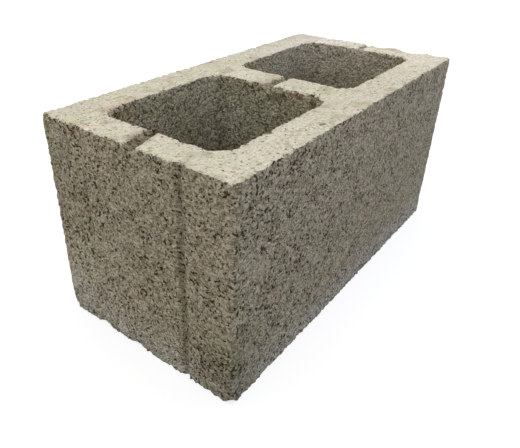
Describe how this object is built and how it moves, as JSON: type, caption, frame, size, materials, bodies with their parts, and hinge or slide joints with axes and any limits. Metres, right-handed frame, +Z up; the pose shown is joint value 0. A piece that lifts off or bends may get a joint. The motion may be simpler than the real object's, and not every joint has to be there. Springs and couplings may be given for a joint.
{
  "type": "hollow concrete block",
  "caption": "Hollow concrete masonry block with flat faces, tapered cells, upright end grooves and a bar channel across its webs.",
  "frame": {"origin": "centre of the underside, where the block stands as it was pressed", "axes": "+X along the length, +Y across the width, +Z up towards the wide mouths of the cells; one grooved end faces -X"},
  "size_m": [0.4, 0.2, 0.2],
  "materials": {
    "concrete": "matte"
  },
  "bodies": {
    "root": {"concrete_block": "concrete"}
  },
  "joints": []
}
